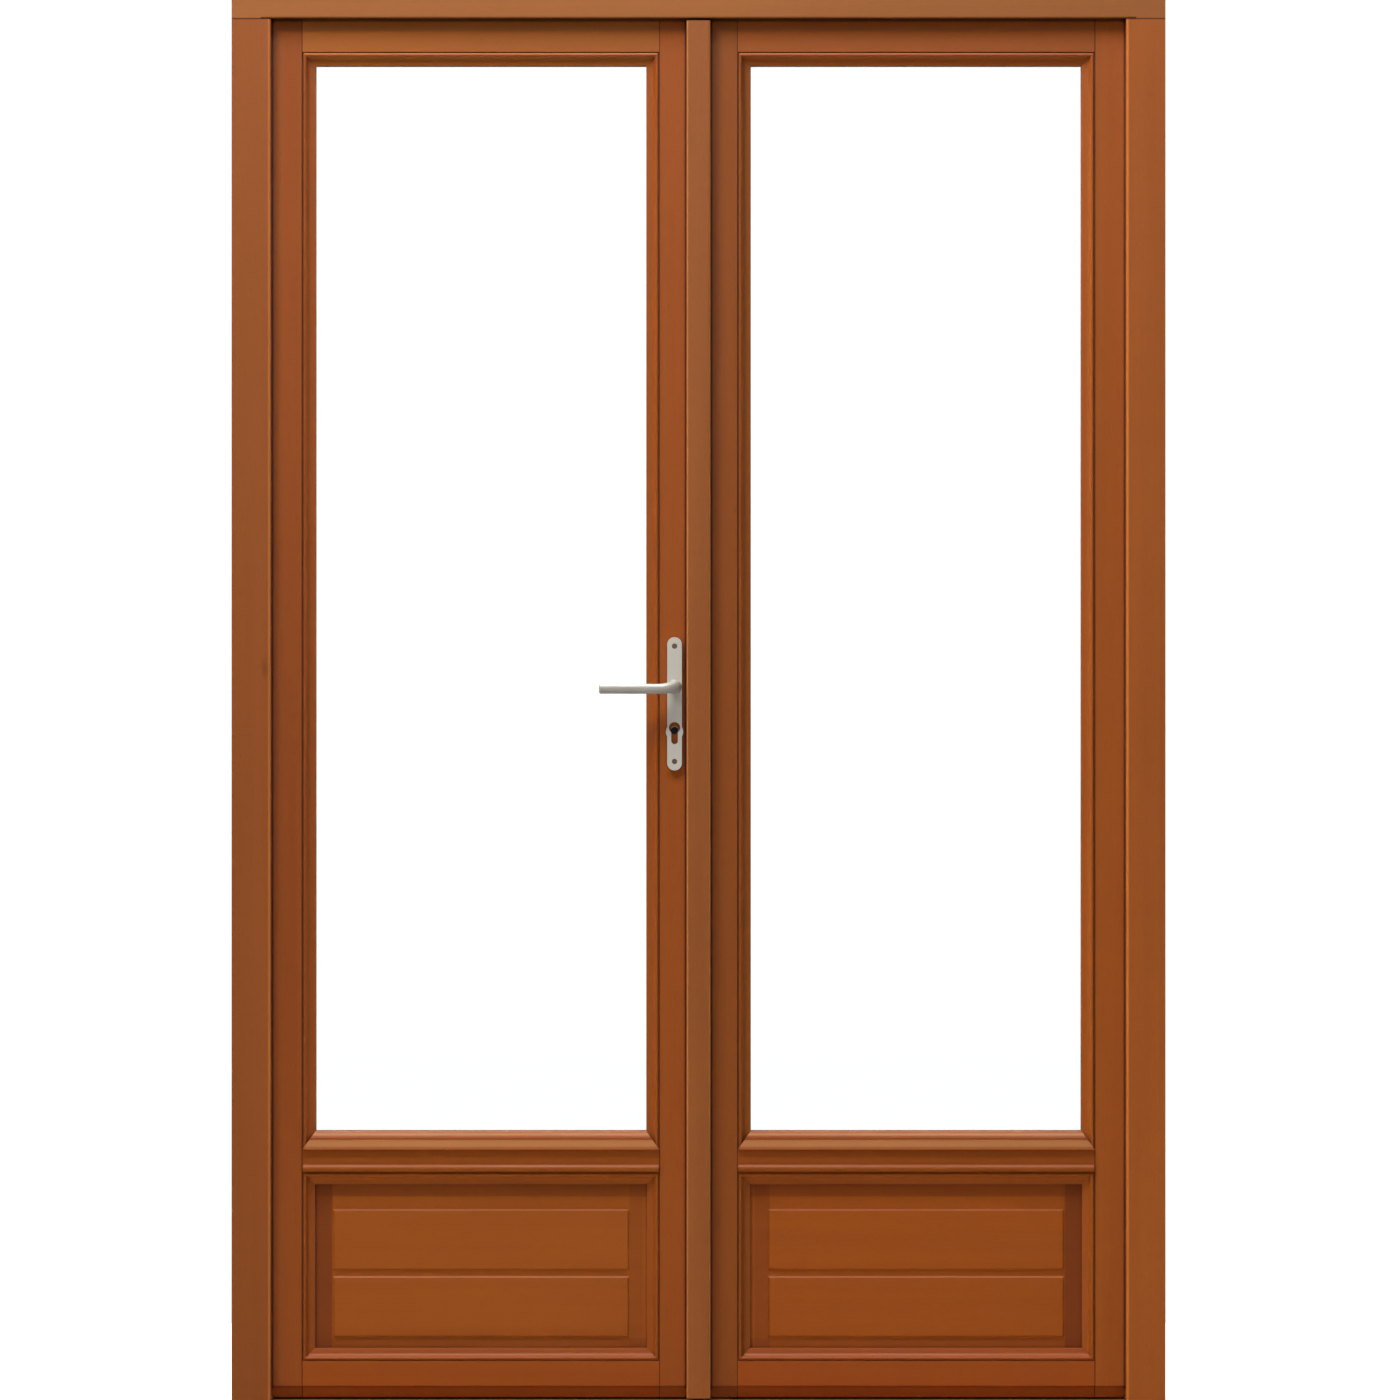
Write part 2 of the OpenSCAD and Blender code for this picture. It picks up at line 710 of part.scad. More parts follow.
// Cover strip over the meeting gap: base_y is the leaf face that it is fixed to, dir points off it.
// It is relieved over the other leaf, which lies on the side given by other.
module astragal(base_y, dir, t, other, round_r) {
    h = astragal_w / 2;
    e = -other * meeting_gap / 2;
    far = base_y + dir * t;
    outline = concat([[-other * h, base_y], [e, base_y], [e, base_y + dir * astragal_relief],
        [other * h, base_y + dir * astragal_relief]],
        [for (p = arc([0, 0], round_r, 0, 90, 6)) [other * (h - round_r + p[0]), far - dir * (round_r - p[1])]],
        [for (p = arc([0, 0], round_r, 90, 180, 6)) [-other * (h - round_r - p[0]), far - dir * (round_r - p[1])]]);
    difference() {
        bar_z(outline, astragal_z0, astragal_z1);
        astragal_seal_bar(base_y, dir, other, 1);
    }
}

module astragal_seal_bar(base_y, dir, other, past) {
    x = other * 10;
    y0 = base_y + dir * touch;
    y1 = base_y + dir * (astragal_relief + seal_bed);
    block(x - seal_w / 2, x + seal_w / 2, min(y0, y1), max(y0, y1), astragal_z0 - past,
          astragal_z1 + past);
}

// ---- left leaf -------------------------------------------------------------

module left_hinge_stile() {
    color(stile_color) hinge_stile_wood();
}

module euro_outline() {
    circle(r = euro_r);
    translate([0, -(euro_h - euro_r - euro_w / 2)]) circle(r = euro_w / 2);
    translate([-euro_w / 2, -(euro_h - euro_r - euro_w / 2)])
        square([euro_w, euro_h - euro_r - euro_w / 2]);
}

// Cut of the cylinder's profile through the lock, from y0 to y1.
module euro_cut(y0, y1) {
    translate([handle_x, y1, cyl_z]) rotate([90, 0, 0]) linear_extrude(y1 - y0) euro_outline();
}

module face_outline(grow) {
    for (z = [face_z0 + face_w / 2, face_z1 - face_w / 2]) translate([lock_y, z])
        circle(r = face_w / 2 + grow);
    translate([lock_y - face_w / 2 - grow, face_z0 + face_w / 2])
        square([face_w + 2 * grow, face_z1 - face_z0 - face_w]);
}

module face_bar(x0, x1, grow = 0) {
    translate([x0, 0, 0]) rotate([90, 0, 90]) linear_extrude(x1 - x0) face_outline(grow);
}

module face_screws(grow = 0) {
    for (z = [face_z0 + 12, face_z1 - 12]) translate([leaf_x1, lock_y, z]) rotate([0, 90, 0])
        screw(25, grow);
}

module plate_screws(grow = 0) {
    for (z = [plate_mid_z - plate_h / 2 + plate_screw_in, plate_mid_z + plate_h / 2 - plate_screw_in]) {
        translate([handle_x, leaf_front_y - plate_t, z]) rotate([90, 0, 0]) screw(24, grow);
        translate([handle_x, leaf_room_y + plate_t, z]) rotate([-90, 0, 0]) screw(24, grow);
    }
}

module left_meeting_stile() {
    color(stile_color) difference() {
        meeting_stile_wood();
        block(case_x0 - case_play, case_x1 + cut_over, lock_y - case_t / 2 - case_play,
              lock_y + case_t / 2 + case_play, case_z0 - case_play, case_z1 + case_play);
        face_bar(case_x1, leaf_x1 + 1);
        face_screws(screw_play);
        plate_screws(screw_play);
        rod_y(stile_bore_r, leaf_front_y - 1, leaf_room_y + 1, handle_x, handle_z);
        rod_y(key_hole_r, leaf_front_y - 1, leaf_room_y + 1, handle_x, cyl_z - key_hole_drop);
    }
}

module left_top_rail() {
    color(rail_color) top_rail_wood();
}

module left_middle_rail() {
    color(rail_color) middle_rail_wood();
}

module left_bottom_rail() {
    color(rail_color) bottom_rail_wood();
}

module left_panel() {
    color(panel_color) panel_wood();
}

module left_pane_outer() {
    color(glass_color) pane(unit_y0);
}

module left_pane_inner() {
    color(glass_color) pane(unit_y0 + unit_t - pane_t);
}

module left_glass_spacer() {
    color(alu_color) glass_spacer();
}

module left_glass_packers() {
    color(rubber_color) glass_packers();
}

module left_glazing_beads() {
    color(rail_color) glazing_beads();
}

module inner_astragal() {
    color(astragal_color) astragal(leaf_room_y, 1, inner_astragal_t, 1, 4);
}

module inner_astragal_seal() {
    color(rubber_color) astragal_seal_bar(leaf_room_y, 1, 1, 0);
}

module left_hinge_halves() {
    color(metal_color) at_hinges() hinge_half(1);
}

// ---- lock ------------------------------------------------------------------

module lock_case() {
    color(steel_color) difference() {
        block(case_x0, case_x1, lock_y - case_t / 2, lock_y + case_t / 2, case_z0, case_z1);
        block(case_x0 + case_wall, case_x1 + 1, lock_y - case_t / 2 + case_wall,
              lock_y + case_t / 2 - case_wall, case_z0 + case_wall, case_z1 - case_wall);
        rod_y(collar_r + collar_play, lock_y - case_t, lock_y + case_t, handle_x, handle_z);
        euro_cut(lock_y - case_t, lock_y + case_t);
    }
}

// Opening for a bolt in the faceplate.
module bolt_slot(z0, h, play) {
    block(leaf_x1 - 8, leaf_x1 + 1, lock_y - bolt_t / 2 - play, lock_y + bolt_t / 2 + play,
          z0 - play, z0 + h + play);
}

module lock_faceplate() {
    color(steel_color) difference() {
        face_bar(case_x1, leaf_x1);
        bolt_slot(latch_z0, latch_h, bolt_play);
        bolt_slot(dead_z0, dead_h, bolt_play);
        face_screws(screw_play);
    }
}

module lock_screws() {
    color(steel_color) face_screws();
}

module latch_bolt() {
    tip = leaf_x1 + latch_travel;
    back = leaf_x1 - 35.8;
    y0 = lock_y - bolt_t / 2;
    y1 = lock_y + bolt_t / 2;
    notch_x = handle_x + latch_travel / 2;
    color(steel_color) difference() {
        bar_z([[back, y0], [leaf_x1 + 0.5, y0], [tip, y1 - 2.5], [tip, y1], [back, y1]], latch_z0,
              latch_z0 + latch_h);
        block(notch_x - arm_w, notch_x + arm_w, y0 - 1, y1 + 1, latch_z0 - 1, latch_z0 + 8);
    }
}

module dead_bolt() {
    color(steel_color) difference() {
        block(leaf_x1 - 32, leaf_x1 - 0.2, lock_y - bolt_t / 2, lock_y + bolt_t / 2, dead_z0,
              dead_z0 + dead_h);
        block(leaf_x1 - 28, leaf_x1 - 18, lock_y - bolt_t, lock_y + bolt_t, dead_z0 - 1, dead_z0 + 4);
    }
}

module lock_follower() {
    half = case_t / 2 - case_wall - 0.7;
    color(steel_color) difference() {
        union() {
            rod_y(follower_r, lock_y - half, lock_y + half, handle_x, handle_z);
            rod_y(collar_r, lock_y - case_t / 2 + 0.2, lock_y + case_t / 2 - 0.2, handle_x, handle_z);
            translate([handle_x, lock_y, handle_z]) rotate([0, handle_turn / 2, 0])
                translate([-arm_w / 2, -arm_t / 2, 0]) cube([arm_w, arm_t, arm_len]);
        }
        spindle_cut(lock_y - case_t, lock_y + case_t);
    }
}

module spindle_cut(y0, y1) {
    w = spindle_w + 0.2;
    block(handle_x - w / 2, handle_x + w / 2, y0, y1, handle_z - w / 2, handle_z + w / 2);
}

module spindle() {
    color(steel_color) block(handle_x - spindle_w / 2, handle_x + spindle_w / 2,
        leaf_front_y - plate_t - 10, leaf_room_y + plate_t + 10,
        handle_z - spindle_w / 2, handle_z + spindle_w / 2);
}

module plate_outline() {
    r = plate_w / 2;
    for (s = [-1, 1]) translate([handle_x, plate_mid_z + s * (plate_h / 2 - r)]) circle(r = r);
    translate([handle_x - r, plate_mid_z - plate_h / 2 + r]) square([plate_w, plate_h - plate_w]);
    translate([handle_x, cyl_z - 6]) circle(r = bulge_r);
}

module handle_plate(y0, y1) {
    difference() {
        translate([0, y1, 0]) rotate([90, 0, 0]) linear_extrude(y1 - y0) plate_outline();
        rod_y(neck_r + neck_play, y0 - 1, y1 + 1, handle_x, handle_z);
        euro_cut(y0 - 1, y1 + 1);
        plate_screws(screw_play);
    }
}

module handle_plate_outer() {
    color(metal_color) handle_plate(leaf_front_y - plate_t, leaf_front_y);
}

module handle_plate_inner() {
    color(metal_color) handle_plate(leaf_room_y, leaf_room_y + plate_t);
}

module handle_screws() {
    color(steel_color) plate_screws();
}

// Lever on the outside: neck through the plate, hub, elbow and round grip.
module lever_outside() {
    face = leaf_front_y - plate_t;
    grip_y = face - hub_len - bend_r;
    grip_z = handle_z - lever_drop;
    ease = 3;
    len = lever_reach - bend_r;
    difference() {
        union() {
            rod_y(neck_r, face - 1, face + plate_t - 1, handle_x, handle_z);
            rod_y(hub_r, face - hub_len, face - touch, handle_x, handle_z);
            translate([handle_x - bend_r, face - hub_len, grip_z]) rotate([180, 0, 0])
                rotate_extrude(angle = 90) translate([bend_r, 0]) circle(r = lever_r);
            translate([handle_x - bend_r, grip_y, grip_z]) rotate([0, -90, 0]) rotate_extrude()
                polygon(concat([[0, 0], [lever_r, 0]], arc([lever_r - ease, len - ease], ease, 0, 90, 5),
                    [[0, len]]));
        }
        spindle_cut(face - 11, face + plate_t + 1);
    }
}

module lever_outer() {
    color(metal_color) lever_outside();
}

module lever_inner() {
    color(metal_color) translate([0, leaf_front_y + leaf_room_y, 0]) mirror([0, 1, 0]) lever_outside();
}

// ---- right leaf --------------------------------------------------------------

module right_hinge_stile() {
    color(stile_color) mirror([1, 0, 0]) hinge_stile_wood();
}

// Runs its child at the top and again at the bottom of the leaf, with +Z pointing out of its end.
module at_flush(end) {
    if (end > 0) translate([0, 0, leaf_z1]) children();
    else translate([0, 0, leaf_z0]) mirror([0, 0, 1]) children();
}

module flush_plate_outline() {
    r = flush_plate_w / 2;
    translate([lock_y, -flush_plate_len + r]) circle(r = r);
    translate([lock_y - r, -flush_plate_len + r]) square([flush_plate_w, flush_plate_len - r]);
}

module flush_plate_bar(x0, x1) {
    translate([x0, 0, 0]) rotate([90, 0, 90]) linear_extrude(x1 - x0) flush_plate_outline();
}

module flush_screws(grow = 0) {
    for (z = [-flush_plate_len + 10, -40]) translate([leaf_x1, lock_y, z])
        rotate([0, 90, 0]) screw(z < -100 ? 18 : 4.2, grow);
}

// Slot of a flush bolt's stud, in the plate and the wood.
module flush_slot(x0, play) {
    r = flush_stud_r + play;
    z0 = -flush_stud_in - r - 1;
    z1 = -flush_stud_in + flush_travel + r + 1;
    block(x0, leaf_x1 + 1, lock_y - r, lock_y + r, z0, z1);
}

module strike_screws(grow = 0) {
    for (z = [strike_z0 + 9, strike_z1 - 9]) translate([leaf_x1, lock_y, z]) rotate([0, 90, 0])
        screw(20, grow);
}

module strike_holes(x0, play) {
    for (b = [[latch_z0, latch_h], [dead_z0, dead_h]])
        block(x0, leaf_x1 + 1, lock_y - bolt_t / 2 - play, lock_y + bolt_t / 2 + play,
              b[0] - play, b[0] + b[1] + play);
}

// The right meeting stile takes the strike plate and the flush bolts.
module right_meeting_stile() {
    color(stile_color) mirror([1, 0, 0]) difference() {
        meeting_stile_wood();
        block(leaf_x1 - strike_t, leaf_x1 + 1, lock_y - strike_w / 2, lock_y + strike_w / 2,
              strike_z0, strike_z1);
        strike_holes(leaf_x1 - pocket_d, strike_play);
        strike_screws(screw_play);
        for (end = [-1, 1]) at_flush(end) {
            flush_plate_bar(leaf_x1 - flush_plate_t, leaf_x1 + 1);
            rod_z(flush_r + flush_play, -flush_len - 6, 1, flush_x, lock_y);
            flush_slot(flush_x, flush_play + 0.5);
            flush_screws(screw_play);
        }
    }
}

module right_top_rail() {
    color(rail_color) mirror([1, 0, 0]) top_rail_wood();
}

module right_middle_rail() {
    color(rail_color) mirror([1, 0, 0]) middle_rail_wood();
}

module right_bottom_rail() {
    color(rail_color) mirror([1, 0, 0]) bottom_rail_wood();
}

module right_panel() {
    color(panel_color) mirror([1, 0, 0]) panel_wood();
}

module right_pane_outer() {
    color(glass_color) mirror([1, 0, 0]) pane(unit_y0);
}

module right_pane_inner() {
    color(glass_color) mirror([1, 0, 0]) pane(unit_y0 + unit_t - pane_t);
}

module right_glass_spacer() {
    color(alu_color) mirror([1, 0, 0]) glass_spacer();
}

module right_glass_packers() {
    color(rubber_color) mirror([1, 0, 0]) glass_packers();
}

module right_glazing_beads() {
    color(rail_color) mirror([1, 0, 0]) glazing_beads();
}

module outer_astragal() {
    color(astragal_color) astragal(leaf_front_y, -1, outer_astragal_t, -1, 4);
}

module outer_astragal_seal() {
    color(rubber_color) astragal_seal_bar(leaf_front_y, -1, -1, 0);
}

module right_hinge_halves() {
    color(metal_color) mirror([1, 0, 0]) at_hinges() hinge_half(1);
}

module strike_plate() {
    color(steel_color) mirror([1, 0, 0]) difference() {
        block(leaf_x1 - strike_t, leaf_x1, lock_y - strike_w / 2, lock_y + strike_w / 2,
              strike_z0, strike_z1);
        strike_holes(leaf_x1 - 8, strike_play);
        strike_screws(screw_play);
    }
}

module flush_plate(end) {
    mirror([1, 0, 0]) at_flush(end) difference() {
        flush_plate_bar(leaf_x1 - flush_plate_t, leaf_x1);
        flush_slot(leaf_x1 - 8, flush_play);
        flush_screws(screw_play);
    }
}

module flush_plate_top() {
    color(steel_color) flush_plate(1);
}

module flush_plate_bottom() {
    color(steel_color) flush_plate(-1);
}

module edge_screws() {
    color(steel_color) mirror([1, 0, 0]) {
        strike_screws();
        for (end = [-1, 1]) at_flush(end) flush_screws();
    }
}

module flush_bolt(end) {
    mirror([1, 0, 0]) at_flush(end) {
        rod_z(flush_r, -flush_len, -0.5, flush_x, lock_y);
        rod_x(flush_stud_r, flush_x, leaf_x1 - 0.5, lock_y, -flush_stud_in);
    }
}

module flush_bolt_top() {
    color(steel_color) flush_bolt(1);
}

module flush_bolt_bottom() {
    color(steel_color) flush_bolt(-1);
}

frame_head();
frame_jamb_left();
frame_jamb_right();
threshold();
frame_seals();
frame_hinge_halves_left();
frame_hinge_halves_right();
hinge_pins_left();
hinge_pins_right();
head_keep();
threshold_keep();
keep_screws();
left_hinge_stile();
left_meeting_stile();
left_top_rail();
left_middle_rail();
left_bottom_rail();
left_panel();
left_pane_outer();
left_pane_inner();
left_glass_spacer();
left_glass_packers();
left_glazing_beads();
inner_astragal();
inner_astragal_seal();
left_hinge_halves();
handle_plate_outer();
handle_plate_inner();
handle_screws();
lock_case();
lock_faceplate();
lock_screws();
lever_outer();
lever_inner();
spindle();
lock_follower();
latch_bolt();
dead_bolt();
right_hinge_stile();
right_meeting_stile();
right_top_rail();
right_middle_rail();
right_bottom_rail();
right_panel();
right_pane_outer();
right_pane_inner();
right_glass_spacer();
right_glass_packers();
right_glazing_beads();
outer_astragal();
outer_astragal_seal();
right_hinge_halves();
strike_plate();
flush_plate_top();
flush_plate_bottom();
edge_screws();
flush_bolt_top();
flush_bolt_bottom();
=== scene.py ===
"""Looks for a pair of stained timber french doors: materials, edges, small pieces, light, camera.

Every length is in metres in the row frame: X right, +Y into the room, Z up, outside is -Y.
"""

import math

import bpy
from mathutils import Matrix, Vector


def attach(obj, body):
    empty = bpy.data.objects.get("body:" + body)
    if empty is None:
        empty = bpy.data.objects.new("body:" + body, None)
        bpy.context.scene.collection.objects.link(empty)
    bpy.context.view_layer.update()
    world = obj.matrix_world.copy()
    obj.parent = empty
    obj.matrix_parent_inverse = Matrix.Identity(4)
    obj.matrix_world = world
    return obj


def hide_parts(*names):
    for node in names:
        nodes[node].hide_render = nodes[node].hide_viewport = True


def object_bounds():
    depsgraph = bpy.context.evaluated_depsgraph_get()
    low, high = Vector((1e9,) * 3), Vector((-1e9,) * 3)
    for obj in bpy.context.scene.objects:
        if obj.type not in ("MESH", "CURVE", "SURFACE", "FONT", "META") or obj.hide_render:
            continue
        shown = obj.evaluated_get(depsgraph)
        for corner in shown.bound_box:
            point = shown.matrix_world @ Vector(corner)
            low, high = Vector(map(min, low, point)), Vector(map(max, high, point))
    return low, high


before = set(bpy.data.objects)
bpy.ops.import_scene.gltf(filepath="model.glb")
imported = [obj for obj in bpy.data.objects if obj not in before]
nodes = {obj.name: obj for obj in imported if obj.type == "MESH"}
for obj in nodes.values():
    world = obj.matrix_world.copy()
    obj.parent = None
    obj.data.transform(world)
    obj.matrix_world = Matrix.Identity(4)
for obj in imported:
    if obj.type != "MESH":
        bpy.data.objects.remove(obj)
cad_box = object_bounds()
scene = bpy.context.scene
X, Y, Z = 0, 1, 2


# ---- material helpers ------------------------------------------------------


def linear(srgb):
    """A linear colour with alpha from three sRGB numbers of 0 to 255."""
    def one(c):
        c /= 255
        return c / 12.92 if c <= 0.04045 else ((c + 0.055) / 1.055) ** 2.4

    return (*[one(c) for c in srgb], 1.0)


def middle_and_half(low, high):
    return (low + high) / 2, (high - low) / 2


class Tree:
    """A new material and short calls that add and join its nodes."""

    def __init__(self, name):
        self.mat = bpy.data.materials.new(name)
        self.mat.use_nodes = True
        self.nt = self.mat.node_tree
        self.nt.nodes.clear()
        self.out = self.nt.nodes.new("ShaderNodeOutputMaterial")

    def node(self, kind, inputs=None, **settings):
        n = self.nt.nodes.new("ShaderNode" + kind)
        for k, v in settings.items():
            setattr(n, k, v)
        for k, v in (inputs or {}).items():
            self.put(n.inputs[k], v)
        return n

    def put(self, socket, value):
        if isinstance(value, bpy.types.NodeSocket):
            self.nt.links.new(value, socket)
        else:
            socket.default_value = value

    def coords(self, scale, offset=(0, 0, 0)):
        tc = self.node("TexCoord")
        m = self.node("Mapping", {"Vector": tc.outputs["Object"], "Scale": scale,
                                  "Location": offset})
        return m.outputs["Vector"]

    def noise(self, vector, scale, detail=3.0, rough=0.5, distortion=0.0):
        n = self.node("TexNoise", {"Vector": vector, "Scale": scale, "Detail": detail,
                                   "Roughness": rough, "Distortion": distortion})
        return n.outputs["Fac"]

    def ramp(self, factor, stops):
        r = self.node("ValToRGB", {"Fac": factor})
        e = r.color_ramp.elements
        while len(e) < len(stops):
            e.new(0.5)
        for i, (at, colour) in enumerate(stops):
            e[i].position = at
            e[i].color = colour if len(colour) == 4 else (*colour, 1)
        return r.outputs["Color"]

    def span(self, value, low, high, to_low, to_high):
        m = self.node("MapRange", {"Value": value, "From Min": low, "From Max": high,
                                   "To Min": to_low, "To Max": to_high}, clamp=True)
        return m.outputs["Result"]

    def math(self, operation, a, b=0.0):
        m = self.node("Math", operation=operation)
        self.put(m.inputs[0], a)
        self.put(m.inputs[1], b)
        return m.outputs[0]

    def mix(self, factor, a, b):
        m = self.node("Mix", data_type="RGBA")
        self.put(m.inputs[0], factor)
        self.put(m.inputs[6], a)
        self.put(m.inputs[7], b)
        return m.outputs[2]

    def bump(self, height, distance, strength):
        return self.node("Bump", {"Height": height, "Distance": distance,
                                  "Strength": strength}).outputs["Normal"]

    def shader(self, inputs):
        p = self.node("BsdfPrincipled", inputs)
        self.nt.links.new(p.outputs[0], self.out.inputs["Surface"])
        return self.mat


# Noise waves per metre, along and across the grain.
FIGURE, STREAK, CLOUD = (0.55, 9.0), (1.1, 55.0), (2.0, 5.0)
PORES, GLOSS_STREAK = (70.0, 1500.0), (6.0, 160.0)
TONE_SPREAD = 0.13        # how far the stain varies to both sides of its colour
WOOD_ROUGH = 0.56
SEED_STEPS, SEED_PERIOD = (1.37, 2.11, 0.73), 7.0
# Bands: fading starts and ends at these parts of the half width, then the amount in the middle.
EDGE_HIGHLIGHT_BAND = (0.4, 1.1, 0.75)
JOINT_AND_SHADE_LINE = (0.35, 1.0, 0.9)
SLOPE_HIGHLIGHT_BAND = (0.6, 1.1, 0.9)
SHADE_BAND = (0.86, 1.04)  # its amount comes with each band
OUTER_SIDE = (0.004, 0.008)   # Y between which the outer side's bands end inside the wood
KNOT_SQUASH = 0.35            # knots are drawn out along Z by the inverse of this
# Reach of the painted shade in crevices.
CREVICE_SHADE_REACH = 0.009
# Pale tint of the painted highlight on upward slopes.
SLOPE_HIGHLIGHT_TINT = linear((188, 127, 70))


def wood(name, grain, seed, srgb, joint_and_shade_lines=(), arrises=(), knots=(), slope_highlights=(), shaded_bands=()):
    """Stained, satin lacquered hardwood with its grain along the axis grain.

    Places of lines, arrises and bands on X are distances from the middle of the doors. The lines
    are dark joint lines and lines of painted shade (axis, place, half width, shaded by a
    neighbour), arrises are edges with a painted highlight (axis, from, to) and knots are marks (x,
    z, radius).
    A line shaded by a neighbour is painted shade beside a neighbour that stands over it, and it
    shows only while that is shut. On the outer side only, the slope heights (from, to) get a
    painted highlight where a slope faces up, and the shade bands (axis, from, to, amount) get
    painted shade.
    """
    t = Tree(name)
    shift = tuple((seed * k) % SEED_PERIOD for k in SEED_STEPS)

    def along(waves):
        s = [waves[1]] * 3
        s[grain] = waves[0]
        return t.coords(tuple(s), shift)

    body = linear(srgb)

    def tone(k, warm=1.0):
        """The stain k times as bright, and redder where warm is over 1."""
        return (body[0] * k, body[1] * k / warm, body[2] * k / (warm * warm), 1)

    figure = t.noise(along(FIGURE), 1.0, 4.0, 0.55, 0.8)
    streak = t.noise(along(STREAK), 1.0, 3.0, 0.6, 0.25)
    cloud = t.noise(along(CLOUD), 1.0, 2.0, 0.5, 0.4)
    pores = t.noise(along(PORES), 1.0, 2.0, 0.5)
    base = t.ramp(figure, [(0.30, tone(1 - TONE_SPREAD, 1.03)), (0.5, tone(1.0)),
                           (0.72, tone(1 + TONE_SPREAD, 0.98))])
    fine = t.ramp(streak, [(0.3, tone(1 - 0.7 * TONE_SPREAD, 1.02)),
                           (0.68, tone(1 + 0.6 * TONE_SPREAD, 0.99))])
    both = t.mix(0.45, base, fine)
    patchy = t.mix(t.span(cloud, 0.35, 0.7, 0.0, 0.35), both, tone(1 + 0.9 * TONE_SPREAD, 0.94))
    pore_dark = t.span(pores, 0.60, 0.74, 0.0, 0.42)
    colour = t.mix(pore_dark, patchy, tone(0.55, 1.1))
    place = t.node("SeparateXYZ", {0: t.coords((1, 1, 1))}).outputs

    def band(axis, middle, half, shape):
        """How strongly a band with soft edges shows at a place."""
        fade_from, fade_to, amount = shape
        away = t.math("SUBTRACT", t.math("ABSOLUTE", place[axis]), middle)
        return t.span(t.math("ABSOLUTE", away), fade_from * half, fade_to * half, amount, 0.0)

    def outer_band(axis, low, high, shape):
        outside = t.span(place[Y], *OUTER_SIDE, 1.0, 0.0)
        return t.math("MULTIPLY", band(axis, *middle_and_half(low, high), shape), outside)

    # Painted highlight along the arrises.
    for axis, low, high in arrises:
        edge_highlight = band(axis, *middle_and_half(low, high), EDGE_HIGHLIGHT_BAND)
        colour = t.mix(edge_highlight, colour, tone(1.75, 0.84))
    # Painted shade in bands of the outer side.
    for axis, low, high, amount in shaded_bands:
        dark = outer_band(axis, low, high, (*SHADE_BAND, amount))
        colour = t.mix(dark, colour, tone(0.50, 1.25))
    # Painted highlight on upward slopes of the outer side.
    for low, high in slope_highlights:
        pale = outer_band(Z, low, high, SLOPE_HIGHLIGHT_BAND)
        colour = t.mix(pale, colour, t.mix(0.25, SLOPE_HIGHLIGHT_TINT, patchy))
    for x, z, radius in knots:
        near = t.node("VectorMath", {0: t.coords((1, 0, KNOT_SQUASH)), 1: (x, 0, z * KNOT_SQUASH)},
                      operation="DISTANCE").outputs["Value"]
        colour = t.mix(t.span(near, 0.2 * radius, radius, 0.4, 0.0), colour, tone(0.45, 1.15))
    # Painted shade: the stain darkens in crevices and recesses, where ambient occlusion finds a
    # near face.
    crevice_shade = t.node("AmbientOcclusion", {"Distance": CREVICE_SHADE_REACH}, samples=6).outputs["AO"]
    colour = t.mix(t.span(crevice_shade, 0.20, 0.80, 0.72, 0.0), colour, tone(0.24, 1.35))
    # Dark joint lines; the lines shaded by a neighbour are painted shade.
    for axis, at, half, shaded_by_neighbour in joint_and_shade_lines:
        line = band(axis, at, half, JOINT_AND_SHADE_LINE)
        if shaded_by_neighbour:
            line = t.math("MULTIPLY", line, t.span(crevice_shade, 0.70, 0.95, 1.0, 0.0))
        colour = t.mix(line, colour, tone(0.16, 1.4))
    height = t.math("SUBTRACT", t.math("MULTIPLY", streak, 0.5), pore_dark)
    return t.shader({
        "Base Color": colour,
        "Roughness": t.span(t.noise(along(GLOSS_STREAK), 1.0, 3.0), 0.3, 0.7,
                            WOOD_ROUGH - 0.05, WOOD_ROUGH + 0.06),
        "Normal": t.bump(height, 0.00012, 0.5),
        "Specular IOR Level": 0.18,
        "IOR": 1.48,
    })


BRUSH_ALONG, BRUSH_ACROSS = 40.0, 2600.0  # brush lines per metre
METAL_CLOUD = (35.0, 35.0, 35.0)


def satin_metal(name, srgb, rough, brush_axis, seed, metallic=1.0):
    """Anodised or brushed metal with fine brush lines along brush_axis and a cloud in its gloss."""
    t = Tree(name)
    shift = (seed, seed * 0.7, seed * 1.3)
    s = [BRUSH_ACROSS] * 3
    s[brush_axis] = BRUSH_ALONG
    lines = t.noise(t.coords(tuple(s), shift), 1.0, 2.0)
    cloud = t.noise(t.coords(METAL_CLOUD, shift), 1.0, 3.0)
    c = linear(srgb)
    dark = (c[0] * 0.93, c[1] * 0.93, c[2] * 0.92, 1)
    light = (min(1, c[0] * 1.05), min(1, c[1] * 1.05), min(1, c[2] * 1.05), 1)
    total = t.math("ADD", lines, cloud)
    return t.shader({
        "Base Color": t.mix(t.math("MULTIPLY", total, 0.5), dark, light),
        "Metallic": metallic,
        "Roughness": t.span(total, 0.6, 1.4, rough - 0.05, rough + 0.06),
        "Normal": t.bump(lines, 0.00002, 0.35),
    })


RUBBER_GRAIN, RUBBER_DUST = (900.0, 900.0, 900.0), (14.0, 14.0, 5.0)  # waves per metre


